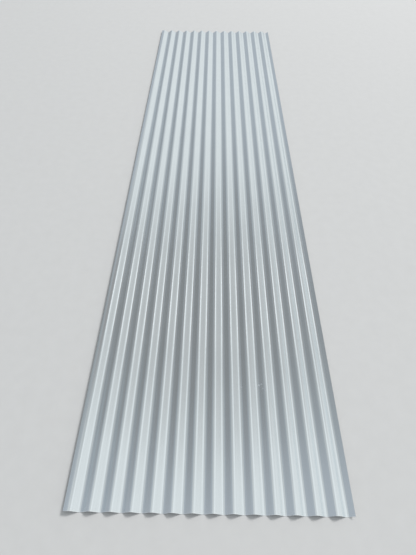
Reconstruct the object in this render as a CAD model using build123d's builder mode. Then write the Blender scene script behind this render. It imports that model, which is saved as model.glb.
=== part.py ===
from build123d import *
from math import cos, radians, sin
import os

# A corrugated metal sheet that lies flat, in millimetres and degrees. Its waves run along Y,
# X goes across them and Z is up. The origin is under the middle of the sheet, on the level
# that its valleys rest on.

# The strip that the sheet is rolled from
sheet_length = 4400.0
sheet_thickness = 0.48

# The waves, measured on one face of the sheet
wave_pitch = 76.2
wave_depth = 18.0
crest_count = 14
flank_slope = 34.0

# How far the sheet goes on past its outermost crest on the left, and past its outermost valley
# on the right. The right lip is a piece of flank. The left lip has opened to one wide arc that
# leaves the top of the crest level, and its slope is the one at its edge.
left_lip = 22.0
left_lip_slope = 18.0
right_lip = 27.0

# Every bend is one arc, and a straight flank is tangent to both bends beside it. From a crest
# to the valley beside it, the two half bends and the flank together go half a pitch across
# and one wave depth down, which gives the radius.
half_pitch = wave_pitch / 2
slope = radians(flank_slope)
bend_radius = (half_pitch * sin(slope) - wave_depth * cos(slope)) / (2 - 2 * cos(slope))
left_lip_radius = left_lip / sin(radians(left_lip_slope))
right_lip_flank = (right_lip - bend_radius * sin(slope)) / cos(slope)

# The line in the middle of the sheet's thickness
valley_level = sheet_thickness / 2
crest_level = valley_level + wave_depth
half_waves = 2 * crest_count - 1
sheet_width = left_lip + half_waves * half_pitch + right_lip
first_crest_x = left_lip - sheet_width / 2


with BuildPart() as corrugated_sheet:
    with BuildSketch(Plane.XZ):
        with BuildLine():
            lip_centre = (first_crest_x, crest_level - left_lip_radius)
            end = CenterArc(lip_centre, left_lip_radius, 90 + left_lip_slope, -left_lip_slope) @ 1
            for bend in range(half_waves + 1):
                bend_x = first_crest_x + bend * half_pitch
                entry_slope = 0 if bend == 0 else flank_slope
                if bend % 2 == 0:
                    centre = (bend_x, crest_level - bend_radius)
                    arc = CenterArc(centre, bend_radius, 90 + entry_slope, -entry_slope - flank_slope)
                else:
                    centre = (bend_x, valley_level + bend_radius)
                    arc = CenterArc(centre, bend_radius, 270 - flank_slope, 2 * flank_slope)
                if bend > 0:
                    Line(end, arc @ 0)
                end = arc @ 1
            PolarLine(end, right_lip_flank, flank_slope)
            offset(amount=sheet_thickness / 2, side=Side.BOTH)
        make_face()
    extrude(amount=sheet_length / 2, both=True)
corrugated_sheet.part.label = "corrugated_sheet"

os.makedirs("parts", exist_ok=True)
export_step(corrugated_sheet.part, "parts/corrugated_sheet.step")

print("bend radius", round(bend_radius, 2))
print("size", corrugated_sheet.part.bounding_box().size)
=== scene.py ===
# %% [markdown]
# # A corrugated metal sheet
# The real thing is one strip of coated steel, half a millimetre thick, that rollers have bent
# into waves and a shear has cut square at both ends. It lies flat on a pale studio floor. This
# lesson rolls the strip in Geometry Nodes, gives it a satin metal finish with the marks of its
# making, and lights it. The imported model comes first, because it gives the sheet its place and
# its overall size.

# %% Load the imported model
from math import cos, radians, sin

import bpy
from mathutils import Matrix, Vector


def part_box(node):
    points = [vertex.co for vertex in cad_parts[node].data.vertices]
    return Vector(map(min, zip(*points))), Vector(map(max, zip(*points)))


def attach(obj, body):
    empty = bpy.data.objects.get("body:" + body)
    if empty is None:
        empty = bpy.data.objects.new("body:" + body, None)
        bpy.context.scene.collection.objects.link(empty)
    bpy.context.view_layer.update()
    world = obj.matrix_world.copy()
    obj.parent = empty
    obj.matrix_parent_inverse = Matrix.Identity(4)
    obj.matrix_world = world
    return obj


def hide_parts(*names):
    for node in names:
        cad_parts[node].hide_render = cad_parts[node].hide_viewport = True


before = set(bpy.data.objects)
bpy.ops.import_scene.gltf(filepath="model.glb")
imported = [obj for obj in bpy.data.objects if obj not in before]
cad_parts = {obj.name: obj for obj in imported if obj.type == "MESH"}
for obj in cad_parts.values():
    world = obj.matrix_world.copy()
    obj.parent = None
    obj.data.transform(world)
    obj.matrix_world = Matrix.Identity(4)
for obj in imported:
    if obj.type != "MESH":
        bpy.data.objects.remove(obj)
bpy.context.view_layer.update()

cad_low, cad_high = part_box("corrugated_sheet")
print("packed sheet from", tuple(cad_low), "to", tuple(cad_high))

# %% [markdown]
# ## The sizes of the sheet
# The profile has 14 crests, 76.2 mm apart, and its flanks slope at 34 degrees. The left lip has
# opened to one wide arc, and the right lip is a piece of flank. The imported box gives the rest:
# the length, the depth of the waves and the width of the right lip. Those could be typed in as
# well, but taking them from the box keeps both models the same size.

# %% Name the sizes
PITCH = 0.0762
CRESTS = 14
SLOPE = radians(34)
THICKNESS = 0.00048
LEFT_LIP = 0.022
LEFT_LIP_SLOPE = radians(18)

length = cad_high.y - cad_low.y
depth = cad_high.z - cad_low.z - THICKNESS
waves_width = (CRESTS - 0.5) * PITCH
right_lip = cad_high.x - cad_low.x - THICKNESS - waves_width - LEFT_LIP
print(f"length {length:.4f}, depth {depth:.5f}, right lip {right_lip:.5f}")

# %% [markdown]
# ## Building node trees
# Long sums in nodes are hard to read when every node is placed and linked by hand. These
# helpers make one node each and hand back its output, so that a sum in nodes reads like a
# sum in Python. A value that is a socket is linked, and any other value is typed in.

# %% Helpers for nodes
def plug(tree, socket, value):
    if isinstance(value, bpy.types.NodeSocket):
        tree.links.new(value, socket)
    else:
        socket.default_value = value


def add_node(tree, kind, **settings):
    node = tree.nodes.new(kind)
    for name, value in settings.items():
        setattr(node, name, value)
    return node


def calc(tree, operation, *values):
    node = add_node(tree, "ShaderNodeMath", operation=operation)
    for socket, value in zip(node.inputs, values):
        plug(tree, socket, value)
    return node.outputs[0]


def vector_of(tree, x, y, z):
    node = add_node(tree, "ShaderNodeCombineXYZ")
    for socket, value in zip(node.inputs, (x, y, z)):
        plug(tree, socket, value)
    return node.outputs[0]


def parts_of(tree, vector):
    node = add_node(tree, "ShaderNodeSeparateXYZ")
    plug(tree, node.inputs[0], vector)
    return node.outputs


print("five helpers: plug, add_node, calc, vector_of, parts_of")

# %% [markdown]
# ## Rolling the strip
# A roll former bends a flat strip, and the tree does the same. It starts from a thin flat box
# as wide as the developed strip, cut into many columns and rows. Each point knows how far it
# is from the first crest, measured along the strip. The nearest bend follows from that, then
# the arc or the flank that the point ends on, and the way that the skin faces there. The box
# has two skins and four cut sides already, so the rolled sheet is closed with nothing to sew.
# Copies of one wave would need their seams merged, and a curve with a profile would need the
# same arcs anyway.

# %% Make the tree and its inputs
SIZES = {
    "Length": length,
    "Pitch": PITCH,
    "Depth": depth,
    "Slope": SLOPE,
    "Thickness": THICKNESS,
    "Left lip": LEFT_LIP,
    "Left lip slope": LEFT_LIP_SLOPE,
    "Right lip": right_lip,
    "Unevenness": 0.00035,
}
COUNTS = {"Crests": CRESTS, "Columns": 432, "Rows": 104, "Seed": 7}

roll = bpy.data.node_groups.new("roll_the_strip", "GeometryNodeTree")
for name in SIZES:
    roll.interface.new_socket(name, in_out="INPUT", socket_type="NodeSocketFloat")
for name in COUNTS:
    roll.interface.new_socket(name, in_out="INPUT", socket_type="NodeSocketInt")
for name in ("Coating", "Cut metal"):
    roll.interface.new_socket(name, in_out="INPUT", socket_type="NodeSocketMaterial")
roll.interface.new_socket("Sheet", in_out="OUTPUT", socket_type="NodeSocketGeometry")
given = add_node(roll, "NodeGroupInput").outputs
print("tree inputs:", [socket.name for socket in given if socket.name])

# %% Short names for sums
def times(a, b):
    return calc(roll, "MULTIPLY", a, b)


def plus(a, b):
    return calc(roll, "ADD", a, b)


def minus(a, b):
    return calc(roll, "SUBTRACT", a, b)


def over(a, b):
    return calc(roll, "DIVIDE", a, b)


print("four sums: times, plus, minus, over")

# %% [markdown]
# ## The flat strip
# Two half bends and the flank between them span half a pitch and one depth, which gives the
# bend radius. Measured along the metal, the same piece is one half wave of flat strip. The
# lips are unrolled in the same way, and all of them together are the width of the strip. A
# coil of that width is what the sheet is made from, so the points start evenly spread on it.

# %% Size the flat strip
slope_sin = calc(roll, "SINE", given["Slope"])
slope_cos = calc(roll, "COSINE", given["Slope"])
half_pitch = times(given["Pitch"], 0.5)
rise = minus(times(half_pitch, slope_sin), times(given["Depth"], slope_cos))
radius = over(rise, minus(2, times(2, slope_cos)))
arc = times(radius, given["Slope"])
arc_across = times(radius, slope_sin)
half_wave = plus(times(2, arc), over(minus(half_pitch, times(2, arc_across)), slope_cos))
half_waves = minus(times(2, given["Crests"]), 1)

left_radius = over(given["Left lip"], calc(roll, "SINE", given["Left lip slope"]))
left_flat = times(left_radius, given["Left lip slope"])
right_flat = plus(arc, over(minus(given["Right lip"], arc_across), slope_cos))
flat_width = plus(plus(left_flat, times(half_waves, half_wave)), right_flat)
lips = plus(given["Left lip"], given["Right lip"])
rolled_width = plus(lips, times(half_waves, half_pitch))
first_crest_x = minus(given["Left lip"], times(rolled_width, 0.5))
print(len(roll.nodes), "nodes size the flat strip")

# %% Cut the flat strip into columns and rows
strip = add_node(roll, "GeometryNodeMeshCube")
flat_size = vector_of(roll, flat_width, given["Length"], given["Thickness"])
plug(roll, strip.inputs["Size"], flat_size)
plug(roll, strip.inputs["Vertices X"], given["Columns"])
plug(roll, strip.inputs["Vertices Y"], given["Rows"])
place = parts_of(roll, add_node(roll, "GeometryNodeInputPosition").outputs[0])
facing = parts_of(roll, add_node(roll, "GeometryNodeInputNormal").outputs[0])
from_first = minus(plus(place["X"], times(flat_width, 0.5)), left_flat)
print("the strip has", COUNTS["Columns"], "columns and", COUNTS["Rows"], "rows of points")

# %% [markdown]
# ## What the finish needs to know
# The finish has to follow the strip and not the room, because lines from the rollers run along
# the sheet whatever its shape. Unwrapping the finished mesh would have to find the flat shape
# again, and here it is still at hand. So each corner of a face keeps its place on the flat
# strip as a map in metres, counted from the first crest. The cut sides are marked, to get a
# metal of their own, and each point keeps whether it is on the upper or the lower skin.

# %% Keep the flat places and the cut sides
def store(mesh, name, kind, domain, value):
    node = add_node(roll, "GeometryNodeStoreNamedAttribute", data_type=kind, domain=domain)
    plug(roll, node.inputs["Geometry"], mesh)
    plug(roll, node.inputs["Name"], name)
    plug(roll, node.inputs["Value"], value)
    return node.outputs[0]


def stored(name, kind):
    node = add_node(roll, "GeometryNodeInputNamedAttribute", data_type=kind)
    plug(roll, node.inputs["Name"], name)
    return node.outputs[0]


LEVEL_ENOUGH = 0.5
is_cut = calc(roll, "LESS_THAN", calc(roll, "ABSOLUTE", facing["Z"]), LEVEL_ENOUGH)
is_upper = calc(roll, "GREATER_THAN", place["Z"], 0)
flat = store(strip.outputs["Mesh"], "cut", "BOOLEAN", "FACE", is_cut)
flat = store(flat, "upper", "FLOAT", "POINT", is_upper)
flat = store(flat, "strip", "FLOAT2", "CORNER", vector_of(roll, from_first, place["Y"], 0))
print("kept on the mesh: cut, upper and strip")

# %% [markdown]
# ## From the flat strip to the waves
# Bend 0 is the first crest, bend 1 is the valley beside it, and so on. A point turns with the
# arc of its nearest bend until the arc ends, and goes straight on from there. The left lip is
# all arc, of a wider radius. One metre more than it can use keeps it off the straight part.

# %% Find the nearest bend of each point
in_left_lip = calc(roll, "LESS_THAN", from_first, 0)
bend = calc(roll, "MAXIMUM", calc(roll, "ROUND", over(from_first, half_wave)), 0)
from_bend = minus(from_first, times(bend, half_wave))
side = calc(roll, "SIGN", from_bend)
in_valley = calc(roll, "PINGPONG", bend, 1)
upward = minus(1, times(2, in_valley))
bend_x = plus(first_crest_x, times(bend, half_pitch))
bend_radius = plus(radius, times(in_left_lip, minus(left_radius, radius)))
bend_arc = plus(arc, in_left_lip)
print("bends are counted from 0 to", 2 * CRESTS - 1)

# %% Go round the arc, then along the flank
away = calc(roll, "ABSOLUTE", from_bend)
on_arc = calc(roll, "MINIMUM", away, bend_arc)
on_flank = minus(away, on_arc)
turn = over(on_arc, bend_radius)
across = plus(times(bend_radius, calc(roll, "SINE", turn)), times(on_flank, slope_cos))
arc_drop = times(bend_radius, minus(1, calc(roll, "COSINE", turn)))
drop = plus(arc_drop, times(on_flank, slope_sin))
level = plus(times(given["Thickness"], 0.5), times(given["Depth"], minus(1, in_valley)))
middle_x = plus(bend_x, times(side, across))
middle_z = minus(level, times(upward, drop))
lean = times(times(upward, side), turn)
print(len(roll.nodes), "nodes lay the middle of the metal")

# %% [markdown]
# ## A real sheet isn't perfect
# Rolled sheet is never quite even: here and there a wave stands a few tenths of a millimetre
# higher than its neighbour. The eye doesn't see that as a shape, but a reflection bends over
# it. Bump in the material could tilt the light too, but would leave the mesh itself perfect.
# So the nodes lift the points by a slow noise, much longer along the waves than across them.
# It only lifts, so that no valley sinks into the floor.

# %% Lift the points a little
LIFTS_ACROSS = 14
LIFTS_ALONG = 2.2

noise = add_node(roll, "ShaderNodeTexNoise", noise_dimensions="4D")
slow_x = times(middle_x, LIFTS_ACROSS)
slow_y = times(place["Y"], LIFTS_ALONG)
plug(roll, noise.inputs["Vector"], vector_of(roll, slow_x, slow_y, 0))
plug(roll, noise.inputs["W"], given["Seed"])
plug(roll, noise.inputs["Scale"], 1.0)
plug(roll, noise.inputs["Detail"], 1.0)
lift = times(given["Unevenness"], noise.outputs[0])
print(f"the waves are lifted by up to {SIZES['Unevenness'] * 1000:.2f} mm")

# %% Move every point to its place
rolled_x = plus(middle_x, times(place["Z"], calc(roll, "SINE", lean)))
skin_z = times(place["Z"], calc(roll, "COSINE", lean))
rolled_z = plus(plus(middle_z, skin_z), lift)
rolled = add_node(roll, "GeometryNodeSetPosition")
plug(roll, rolled.inputs["Geometry"], flat)
plug(roll, rolled.inputs["Position"], vector_of(roll, rolled_x, place["Y"], rolled_z))
print(len(roll.nodes), "nodes so far")

# %% [markdown]
# ## Smooth skins, crisp cuts
# The skins are shaded smooth, and the four cut sides stay flat. The edge between them is made
# sharp by its angle, or the skin would take on some of the direction of the cut beside it and
# look rounded there. The cut sides then get a metal of their own.

# %% Finish the tree
SHARP_FOLD = 1.0  # radians


def choose(node, selection):
    plug(roll, node.inputs["Selection"], selection)
    return node


skins = calc(roll, "SUBTRACT", 1, stored("cut", "BOOLEAN"))
smooth = choose(add_node(roll, "GeometryNodeSetShadeSmooth"), skins)
plug(roll, smooth.inputs["Geometry"], rolled.outputs[0])
fold = add_node(roll, "GeometryNodeInputMeshEdgeAngle").outputs["Unsigned Angle"]
is_corner = calc(roll, "GREATER_THAN", fold, SHARP_FOLD)
crisp = choose(add_node(roll, "GeometryNodeSetShadeSmooth", domain="EDGE"), is_corner)
plug(roll, crisp.inputs["Geometry"], smooth.outputs[0])
plug(roll, crisp.inputs["Shade Smooth"], False)
real = add_node(roll, "GeometryNodeRealizeInstances")
plug(roll, real.inputs["Geometry"], crisp.outputs[0])
coated = add_node(roll, "GeometryNodeSetMaterial")
plug(roll, coated.inputs["Geometry"], real.outputs[0])
plug(roll, coated.inputs["Material"], given["Coating"])
sheared = choose(add_node(roll, "GeometryNodeSetMaterial"), stored("cut", "BOOLEAN"))
plug(roll, sheared.inputs["Geometry"], coated.outputs[0])
plug(roll, sheared.inputs["Material"], given["Cut metal"])
plug(roll, add_node(roll, "NodeGroupOutput").inputs["Sheet"], sheared.outputs[0])
print(len(roll.nodes), "nodes roll the strip")

# %% [markdown]
# ## The satin coating
# The sheet is steel with a thin metal coating. It is smooth, but not a mirror: it shows the
# room as soft bands of light and dark. So the coating is all metal, and its detail is small
# changes of tone, of roughness and of height. A picture of real metal would repeat or run out
# over four metres, so each pattern is made from noise on the map of the flat strip. That map
# is in metres, which makes every scale below a real size.

# %% Start the coating
coating = bpy.data.materials.new("satin_coated_steel")
coating.use_nodes = True
paint = coating.node_tree
shader = paint.nodes["Principled BSDF"]
shader.inputs["Metallic"].default_value = 1.0
strip_xy = parts_of(paint, add_node(paint, "ShaderNodeUVMap", uv_map="strip").outputs[0])
print("the coating is named", coating.name)

# %% Helpers for patterns on the strip
def on_strip(x_per_metre, y_per_metre, shift):
    x = calc(paint, "MULTIPLY", strip_xy["X"], x_per_metre)
    y = calc(paint, "MULTIPLY", strip_xy["Y"], y_per_metre)
    return vector_of(paint, x, y, shift)


def noise_of(x_per_metre, y_per_metre, detail, shift):
    node = add_node(paint, "ShaderNodeTexNoise", noise_dimensions="3D")
    plug(paint, node.inputs["Vector"], on_strip(x_per_metre, y_per_metre, shift))
    plug(paint, node.inputs["Scale"], 1.0)
    plug(paint, node.inputs["Detail"], detail)
    return node.outputs["Fac"]


def cells_of(x_per_metre, y_per_metre, shift):
    node = add_node(paint, "ShaderNodeTexVoronoi", voronoi_dimensions="3D", feature="F1")
    plug(paint, node.inputs["Vector"], on_strip(x_per_metre, y_per_metre, shift))
    plug(paint, node.inputs["Scale"], 1.0)
    return node.outputs


print("three patterns on the strip: on_strip, noise_of, cells_of")

# %% Helpers for joining patterns
def ranged(value, low, high, to_low, to_high, kind="LINEAR"):
    node = add_node(paint, "ShaderNodeMapRange", interpolation_type=kind)
    names = ("Value", "From Min", "From Max", "To Min", "To Max")
    for name, setting in zip(names, (value, low, high, to_low, to_high)):
        plug(paint, node.inputs[name], setting)
    return node.outputs["Result"]


def fade(value, full, gone):
    return ranged(value, full, gone, 1, 0, "SMOOTHSTEP")


def scaled(value, factor):
    return calc(paint, "MULTIPLY", value, factor)


def total(*values):
    result = values[0]
    for value in values[1:]:
        result = calc(paint, "ADD", result, value)
    return result


print("four ways to join them: ranged, fade, scaled, total")

# %% [markdown]
# ## Marks of the rolling
# Coil and rollers leave fine lines along the strip: dense thin ones, and a few wide, faint
# ones. The rollers press hardest on the tops of the crests and the bottoms of the valleys, and
# burnish a track there. A track could be found by its height, but the map is enough: each
# lies on a bend, and bends are one half wave apart on the strip. The width of a half wave is
# worked out here again, for the finish alone.

# %% Lines and burnished tracks
TRACK_CORE = 0.02
TRACK_EDGE = 0.09
LIGHT_PRESSURE = 0.3

roll_radius = (PITCH / 2 * sin(SLOPE) - depth * cos(SLOPE)) / (2 - 2 * cos(SLOPE))
flank_width = (PITCH / 2 - 2 * roll_radius * sin(SLOPE)) / cos(SLOPE)
HALF_WAVE = 2 * roll_radius * SLOPE + flank_width
print(f"bend radius {roll_radius:.5f}, one half wave is {HALF_WAVE:.5f} wide on the strip")

fine_lines = noise_of(x_per_metre=900, y_per_metre=1.5, detail=3, shift=0)
wide_lines = noise_of(x_per_metre=140, y_per_metre=0.5, detail=1, shift=4)
bends_along = calc(paint, "DIVIDE", strip_xy["X"], HALF_WAVE)
nearest_bend = calc(paint, "ROUND", bends_along)
from_top = calc(paint, "ABSOLUTE", calc(paint, "SUBTRACT", bends_along, nearest_bend))
pressure = ranged(wide_lines, 0.35, 0.6, LIGHT_PRESSURE, 1)
track = calc(paint, "MULTIPLY", fade(from_top, TRACK_CORE, TRACK_EDGE), pressure)

# %% [markdown]
# ## Clouds, spangle and grain
# A dipped coating freezes into grains a few millimetres wide, which a skin pass through smooth
# rollers flattens. They hardly show, but each returns the light a little differently. Cells
# with one random shade each are near enough to such grains. Slow clouds of tone come from the
# bath, and a fine grain gives the satin look up close.

# %% Patterns of the coating itself
clouds = noise_of(x_per_metre=9, y_per_metre=5, detail=4, shift=9)
grain = noise_of(x_per_metre=1400, y_per_metre=1100, detail=2, shift=2)
spangle = cells_of(x_per_metre=420, y_per_metre=380, shift=0)
cell = parts_of(paint, spangle["Color"])["X"]
print("patterns: fine lines, wide lines, tracks, clouds, grain and spangle")

# %% [markdown]
# ## Small wear, and a painted highlight at the ends
# Handling leaves little. Small scuffs lie on two dark flanks about half a metre from the near
# end. Each is placed by how many half waves it is past the first crest and by how far it is
# from the middle of the sheet, and has a size and a strength. A few specks of dust lie about.
# At both ends a rim a few millimetres wide gets a lighter colour, which is a painted highlight
# on the cut edge, and more roughness, where the shear has thinned the coating.
# Plain round spots would look stuck on, so a noise makes the scuffs and the rims ragged.

# %% Scuffs and their ragged outline
SCUFFS = (
    (19.22, -1.682, 0.0048, 1.0),
    (19.50, -1.680, 0.0042, 0.5),
    (19.64, -1.702, 0.0050, 0.4),
    (17.20, -1.692, 0.0036, 0.6),
)
SCUFF_CORE = 0.45
SCUFF_EDGE = 1.15
SCUFF_RAGGED = 0.8
MOST_OF_NOISE = (0.3, 0.7)

outline = noise_of(x_per_metre=190, y_per_metre=420, detail=6, shift=6)
ragged = ranged(outline, *MOST_OF_NOISE, -SCUFF_RAGGED, SCUFF_RAGGED)


def scuff(bends, y, size, strength):
    dx = calc(paint, "SUBTRACT", strip_xy["X"], bends * HALF_WAVE)
    dy = calc(paint, "SUBTRACT", strip_xy["Y"], y)
    reach = calc(paint, "SQRT", total(calc(paint, "POWER", dx, 2), calc(paint, "POWER", dy, 2)))
    sizes_away = total(calc(paint, "DIVIDE", reach, size), ragged)
    return scaled(fade(sizes_away, SCUFF_CORE, SCUFF_EDGE), strength)


scuffed = total(*(scuff(*place_and_size) for place_and_size in SCUFFS))
print(len(SCUFFS), "scuffs")

# %% Specks of dust, and rims at the ends with a painted highlight
DUSTY_FROM = 0.78
DUSTY_FULL = 0.8
SPECK_CORE = 0.02
SPECK_EDGE = 0.05
RIM = 0.0035
RIM_WAVER = 0.001

dust = cells_of(x_per_metre=55, y_per_metre=45, shift=3)
dusty_cell = ranged(parts_of(paint, dust["Color"])["Y"], DUSTY_FROM, DUSTY_FULL, 0, 1)
speck = calc(paint, "MULTIPLY", fade(dust["Distance"], SPECK_CORE, SPECK_EDGE), dusty_cell)

from_end = calc(paint, "SUBTRACT", length / 2, calc(paint, "ABSOLUTE", strip_xy["Y"]))
# The rim at each end: its lighter colour is a painted highlight, its roughness is shear wear.
rim_highlight_and_wear = fade(total(from_end, scaled(ragged, RIM_WAVER)), RIM * 0.5, RIM)
print(len(paint.nodes), "nodes in the coating so far")

# %% [markdown]
# ## Tone, roughness and relief
# The patterns meet in three sums. The tone picks a colour between two greys, and the painted
# highlight on the rims, the scuffs and the specks are laid over it. The roughness decides how
# wide a reflection spreads, so on clean metal it changes by a few hundredths only. The relief is
# in metres: a few thousandths of a millimetre, and ten times as much in a scuff. All three could
# come from one pattern, but then every line would be bright, dull and high at once, which real
# metal isn't.

# %% Join the tone
STEEL_LIGHT = (0.885, 0.915, 0.93, 1)
STEEL_DARK = (0.785, 0.815, 0.83, 1)
# A lighter colour for the rims at the ends, which is a painted highlight on the cut edge.
RIM_PAINTED_HIGHLIGHT = (0.95, 0.965, 0.97, 1)
SCUFF_GREY = (0.96, 0.97, 0.98, 1)
DUST_GREY = (0.42, 0.42, 0.41, 1)
MOST_OF_CLOUDS = (0.25, 0.75)


def layered(tree, factor, below, above):
    node = add_node(tree, "ShaderNodeMix", data_type="RGBA")
    for name, value in (("Factor", factor), ("A", below), ("B", above)):
        plug(tree, node.inputs[name], value)
    return node.outputs["Result"]


tone = total(
    ranged(clouds, *MOST_OF_CLOUDS, 0.30, 0.64),
    ranged(fine_lines, *MOST_OF_NOISE, -0.10, 0.10),
    ranged(wide_lines, *MOST_OF_NOISE, -0.14, 0.14),
    ranged(cell, 0, 1, -0.10, 0.10),
    scaled(track, 0.10),
)
colour = layered(paint, tone, STEEL_DARK, STEEL_LIGHT)
# Painted highlight along both cut ends.
colour = layered(paint, scaled(rim_highlight_and_wear, 0.8), colour, RIM_PAINTED_HIGHLIGHT)
colour = layered(paint, scuffed, colour, SCUFF_GREY)
colour = layered(paint, scaled(speck, 0.6), colour, DUST_GREY)
plug(paint, shader.inputs["Base Color"], colour)
print("steel between", STEEL_DARK[:3], "and", STEEL_LIGHT[:3])

# %% Join the roughness
CLEAN_ROUGHNESS = (0.145, 0.175)

roughness = total(
    ranged(fine_lines, *MOST_OF_NOISE, *CLEAN_ROUGHNESS),
    ranged(clouds, *MOST_OF_CLOUDS, -0.015, 0.015),
    ranged(cell, 0, 1, -0.010, 0.010),
    scaled(track, -0.02),
    scaled(scuffed, 0.50),
    scaled(rim_highlight_and_wear, 0.12),
    scaled(speck, 0.30),
)
plug(paint, shader.inputs["Roughness"], roughness)
print("roughness of the fine lines on clean metal:", CLEAN_ROUGHNESS)

# %% Join the relief
relief = total(
    scaled(fine_lines, 0.0000020),
    scaled(wide_lines, 0.0000040),
    scaled(grain, 0.0000012),
    scaled(cell, 0.0000010),
    scaled(scuffed, -0.0000300),
)
bump = add_node(paint, "ShaderNodeBump")
bump.inputs["Distance"].default_value = 1.0
plug(paint, bump.inputs["Height"], relief)
plug(paint, shader.inputs["Normal"], bump.outputs[0])
print(len(paint.nodes), "nodes in the finished coating")

# %% [markdown]
# ## The sheared edge
# A shear first presses into the metal and polishes it, and then tears it. So the upper third
# of a cut edge is bright with fine upright lines, and the rest is dull and broken. Half a
# millimetre is too thin for zones of its own in the mesh. The points of the two skins carry
# 1 and 0, and across the cut side between them that becomes a ramp, which tells them apart.

# %% Make the cut metal
SHEAR_LINES = 2600
BROKEN_BY = 0.3
POLISHED_FROM = 0.70
POLISHED_FULL = 0.90

cut_metal = bpy.data.materials.new("sheared_steel")
cut_metal.use_nodes = True
cut = cut_metal.node_tree
cut_shader = cut.nodes["Principled BSDF"]
cut_shader.inputs["Metallic"].default_value = 1.0
height = add_node(cut, "ShaderNodeAttribute", attribute_name="upper").outputs["Fac"]
along = parts_of(cut, add_node(cut, "ShaderNodeTexCoord").outputs["Object"])

upright = add_node(cut, "ShaderNodeTexNoise", noise_dimensions="3D")
fine_x = calc(cut, "MULTIPLY", along["X"], SHEAR_LINES)
fine_y = calc(cut, "MULTIPLY", along["Y"], SHEAR_LINES)
plug(cut, upright.inputs["Vector"], vector_of(cut, fine_x, fine_y, height))
plug(cut, upright.inputs["Scale"], 1.0)
plug(cut, upright.inputs["Detail"], 2.0)
lines = upright.outputs["Fac"]

ragged_height = calc(cut, "ADD", height, calc(cut, "MULTIPLY", lines, BROKEN_BY))
polished = add_node(cut, "ShaderNodeMapRange", interpolation_type="SMOOTHSTEP")
plug(cut, polished.inputs["Value"], ragged_height)
plug(cut, polished.inputs["From Min"], POLISHED_FROM)
plug(cut, polished.inputs["From Max"], POLISHED_FULL)
print("the cut metal is named", cut_metal.name)

# %% Give the two zones their metal
TORN = (0.36, 0.36, 0.37, 1)
POLISHED = (0.78, 0.79, 0.80, 1)
TORN_ROUGHNESS = 0.62
POLISHED_ROUGHNESS = 0.32
TOOTH = 0.00002

is_polished = polished.outputs["Result"]
plug(cut, cut_shader.inputs["Base Color"], layered(cut, is_polished, TORN, POLISHED))
smoother = POLISHED_ROUGHNESS - TORN_ROUGHNESS
dullness = calc(cut, "MULTIPLY_ADD", is_polished, smoother, TORN_ROUGHNESS)
plug(cut, cut_shader.inputs["Roughness"], dullness)
teeth = add_node(cut, "ShaderNodeBump")
teeth.inputs["Distance"].default_value = TOOTH
plug(cut, teeth.inputs["Height"], lines)
plug(cut, cut_shader.inputs["Normal"], teeth.outputs[0])
print(len(cut.nodes), "nodes in the cut metal")

# %% [markdown]
# ## From nodes to a plain mesh
# The modifier could stay on the object, but whoever uses the sheet later needs a plain mesh.
# The modifier's inputs are set by their identifiers, because two inputs could share a name.
# Then the evaluated result is copied to a plain mesh, and the modifier goes. The flat box came
# with an empty material slot, which is removed so that each face keeps a finish.

# %% Roll the sheet
sheet = bpy.data.objects.new("rolled_sheet", bpy.data.meshes.new("rolled_sheet"))
bpy.context.scene.collection.objects.link(sheet)
rolling = sheet.modifiers.new("roll", "NODES")
rolling.node_group = roll
tree_inputs = [item for item in roll.interface.items_tree if item.in_out == "INPUT"]
identifiers = {item.name: item.identifier for item in tree_inputs}
settings = {**SIZES, **COUNTS, "Coating": coating, "Cut metal": cut_metal}
for name, value in settings.items():
    rolling[identifiers[name]] = value

evaluated = sheet.evaluated_get(bpy.context.evaluated_depsgraph_get())
sheet_mesh = bpy.data.meshes.new_from_object(evaluated)
sheet.modifiers.clear()
sheet.data = sheet_mesh
sheet_mesh.name = "rolled_sheet"

empty_slots = [slot for slot, finish in enumerate(sheet_mesh.materials) if finish is None]
for slot in reversed(empty_slots):
    sheet_mesh.materials.pop(index=slot)
triangles = sum(len(polygon.vertices) - 2 for polygon in sheet_mesh.polygons)
used = {sheet_mesh.materials[polygon.material_index].name for polygon in sheet_mesh.polygons}
print("rolled sheet:", len(sheet_mesh.vertices), "points,", triangles, "triangles,", sorted(used))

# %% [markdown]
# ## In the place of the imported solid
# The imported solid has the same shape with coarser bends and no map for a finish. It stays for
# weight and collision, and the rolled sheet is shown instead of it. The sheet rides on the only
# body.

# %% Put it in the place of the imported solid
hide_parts("corrugated_sheet")
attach(sheet, "root")
print(sheet.name, "stands for corrugated_sheet")

# %% [markdown]
# ## The floor
# A plain pale floor, so large that its end is a horizon, and only low views see that. Its
# faint mottling is that of a painted studio floor, and keeps a large even area from looking
# like empty paper. A curved backdrop would be the other way, but it would show in the flanks
# as one more band.

# %% Lay the floor
FLOOR_HALF = 30
FLOOR_GREY = (0.55, 0.54, 0.53, 1)
FLOOR_PALE = (0.59, 0.58, 0.57, 1)
FLOOR_ROUGHNESS = 0.9
MOTTLE_SCALE = 18.0
MOTTLE_DETAIL = 6.0

signs = ((-1, -1), (1, -1), (1, 1), (-1, 1))
floor_corners = [(x * FLOOR_HALF, y * FLOOR_HALF, 0) for x, y in signs]
floor_mesh = bpy.data.meshes.new("floor")
floor_mesh.from_pydata(floor_corners, [], [(0, 1, 2, 3)])
floor = bpy.data.objects.new("floor", floor_mesh)
bpy.context.scene.collection.objects.link(floor)

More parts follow.
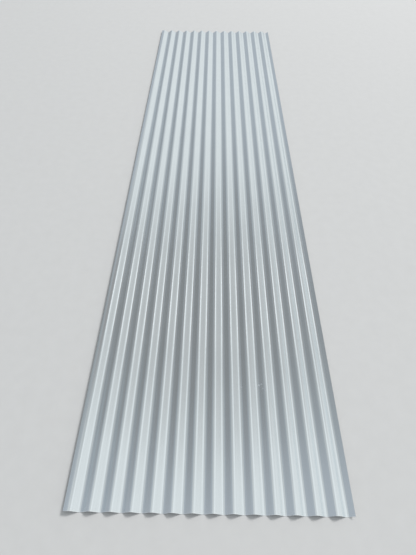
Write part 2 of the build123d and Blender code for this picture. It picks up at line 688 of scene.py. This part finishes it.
floor_finish = bpy.data.materials.new("pale_floor")
floor_finish.use_nodes = True
ground = floor_finish.node_tree
mottle = add_node(ground, "ShaderNodeTexNoise")
plug(ground, mottle.inputs["Vector"], add_node(ground, "ShaderNodeTexCoord").outputs["Object"])
plug(ground, mottle.inputs["Scale"], MOTTLE_SCALE)
plug(ground, mottle.inputs["Detail"], MOTTLE_DETAIL)
floor_tone = layered(ground, mottle.outputs["Fac"], FLOOR_GREY, FLOOR_PALE)
floor_shader = ground.nodes["Principled BSDF"]
plug(ground, floor_shader.inputs["Base Color"], floor_tone)
plug(ground, floor_shader.inputs["Roughness"], FLOOR_ROUGHNESS)
floor_mesh.materials.append(floor_finish)
print("floor", 2 * FLOOR_HALF, "metres square")

# %% [markdown]
# ## The light
# A satin metal sheet shows its room more than its own colour, so the light is part of the
# finish. A photographed room would bring things that nobody placed, and lamps alone would
# leave the metal black between them. So the room is a pale dome, whiter to the right and bluer
# to the left, and soft patches ahead are what the sheet shows.

# %% Helpers for the dome
world = bpy.data.worlds.new("dome")
bpy.context.scene.world = world
world.use_nodes = True
air = world.node_tree
view_direction = add_node(air, "ShaderNodeTexCoord").outputs["Generated"]


def towards(azimuth, elevation):
    a, e = radians(azimuth), radians(elevation)
    return Vector((sin(a) * cos(e), cos(a) * cos(e), sin(e)))


def near(azimuth, elevation, reach, core):
    node = add_node(air, "ShaderNodeVectorMath", operation="DOT_PRODUCT")
    plug(air, node.inputs[0], view_direction)
    plug(air, node.inputs[1], towards(azimuth, elevation))
    ramp = add_node(air, "ShaderNodeMapRange", interpolation_type="SMOOTHSTEP")
    plug(air, ramp.inputs["Value"], node.outputs["Value"])
    plug(air, ramp.inputs["From Min"], cos(radians(reach)))
    plug(air, ramp.inputs["From Max"], cos(radians(core)))
    return ramp.outputs["Result"]


print("straight ahead is", tuple(towards(0, 0)))

# %% [markdown]
# ## The patches
# The low patch on the left is deep, so every left-facing flank turns into a dark band, and the
# low one on the right is weak. They make the bands deepest about a quarter of the way along
# the sheet. Patches higher up tone down the crests and valleys and give the dark bands their
# borders. The bright gap that is left between them shows in the bends, as a thin line on each
# side of a light band. Each patch has the azimuth and elevation of its middle, how far it
# reaches, how much of it is even, all in degrees, and its colour.

# %% Light the dome
DOME_LEFT = (0.456, 0.503, 0.552, 1)
DOME_RIGHT = (0.795, 0.843, 0.856, 1)
RIGHT_PART = (62, 50, 63, 54)
PATCHES = (
    (-9, 55.5, 33, 1, (0.463, 0.497, 0.515, 1)),    # wide, high ahead
    (-53, 44, 17, 1, (0.376, 0.413, 0.437, 1)),     # above the deep one
    (-54, 15, 29.5, 1, (0.263, 0.278, 0.285, 1)),   # deep, low on the left
    (53.5, 19.5, 22, 1, (0.535, 0.557, 0.565, 1)),  # weak, low on the right
    (-32, -5.5, 20, 9, (0.320, 0.350, 0.370, 1)),   # on the horizon, for the far end
    (-29, 49.5, 15, 2, (0.340, 0.342, 0.345, 1)),   # beside the thin bright lines
    (-0.5, 51, 10, 1, (0.310, 0.330, 0.342, 1)),    # small, straight ahead
    (76, 62, 22, 6, (0.850, 0.900, 0.915, 1)),      # lighter, high on the right
)

dome = layered(air, near(*RIGHT_PART), DOME_LEFT, DOME_RIGHT)
for azimuth, elevation, reach, core, patch_colour in PATCHES:
    dome = layered(air, near(azimuth, elevation, reach, core), dome, patch_colour)
air.links.new(dome, air.nodes["Background"].inputs["Color"])
air.nodes["Background"].inputs["Strength"].default_value = 1.0
print(len(PATCHES), "patches on the dome")

# %% [markdown]
# ## Two soft lamps
# The glow is a soft panel high ahead. It is weak, and only sharpens the thin lines in the
# bends. The key is a large panel ahead to the right. It lights the floor, and throws a short
# shadow to the left of the sheet and in front of its near end, which ties the sheet to the
# floor. The dome alone would leave the sheet floating. The key is kept out of reflections,
# because the bends would show it as more lines. Both stand far off, so that the floor is lit
# evenly.

# %% Set the lamps
LAMP_DISTANCE = 30


def soft_lamp(name, azimuth, elevation, size, energy):
    data = bpy.data.lights.new(name, "AREA")
    data.size = size
    data.energy = energy
    lamp = bpy.data.objects.new(name, data)
    bpy.context.scene.collection.objects.link(lamp)
    lamp.location = towards(azimuth, elevation) * LAMP_DISTANCE
    lamp.rotation_mode = "QUATERNION"
    lamp.rotation_quaternion = towards(azimuth, elevation).to_track_quat("Z", "Y")
    lamp.visible_camera = False
    return lamp


glow = soft_lamp("glow", azimuth=21, elevation=52.5, size=7.2, energy=96)
key = soft_lamp("key", azimuth=50, elevation=45, size=8.5, energy=7000)
key.visible_glossy = False
print("lamps:", glow.name, "and", key.name)

# %% [markdown]
# ## The camera
# The camera stands at the near end of the sheet, at eye height, and looks down along it. Its
# place is in metres from the middle of the sheet, and its angles are in degrees. A longer lens
# from further off would frame the same sheet, but the waves would narrow less towards the far
# end.

# %% Place the camera
CAMERA_PLACE = (-0.0070, -2.5353, 1.7812)
SENSOR_WIDTH = 36
LENS = 27.78
LOOK_DOWN = 50.36
TURN_LEFT = 0.547
ROLL = 0.45

camera_data = bpy.data.cameras.new("camera")
camera_data.sensor_width = SENSOR_WIDTH
camera_data.lens = LENS
camera = bpy.data.objects.new("camera", camera_data)
bpy.context.scene.collection.objects.link(camera)
heading = Matrix.Rotation(radians(TURN_LEFT), 4, "Z")
pitch_down = Matrix.Rotation(radians(90 - LOOK_DOWN), 4, "X")
camera_roll = Matrix.Rotation(radians(ROLL), 4, "Z")
camera.matrix_world = Matrix.Translation(CAMERA_PLACE) @ heading @ pitch_down @ camera_roll
bpy.context.scene.camera = camera
bpy.context.scene.view_settings.view_transform = "Standard"
print("camera at", CAMERA_PLACE, "with a lens of", LENS)
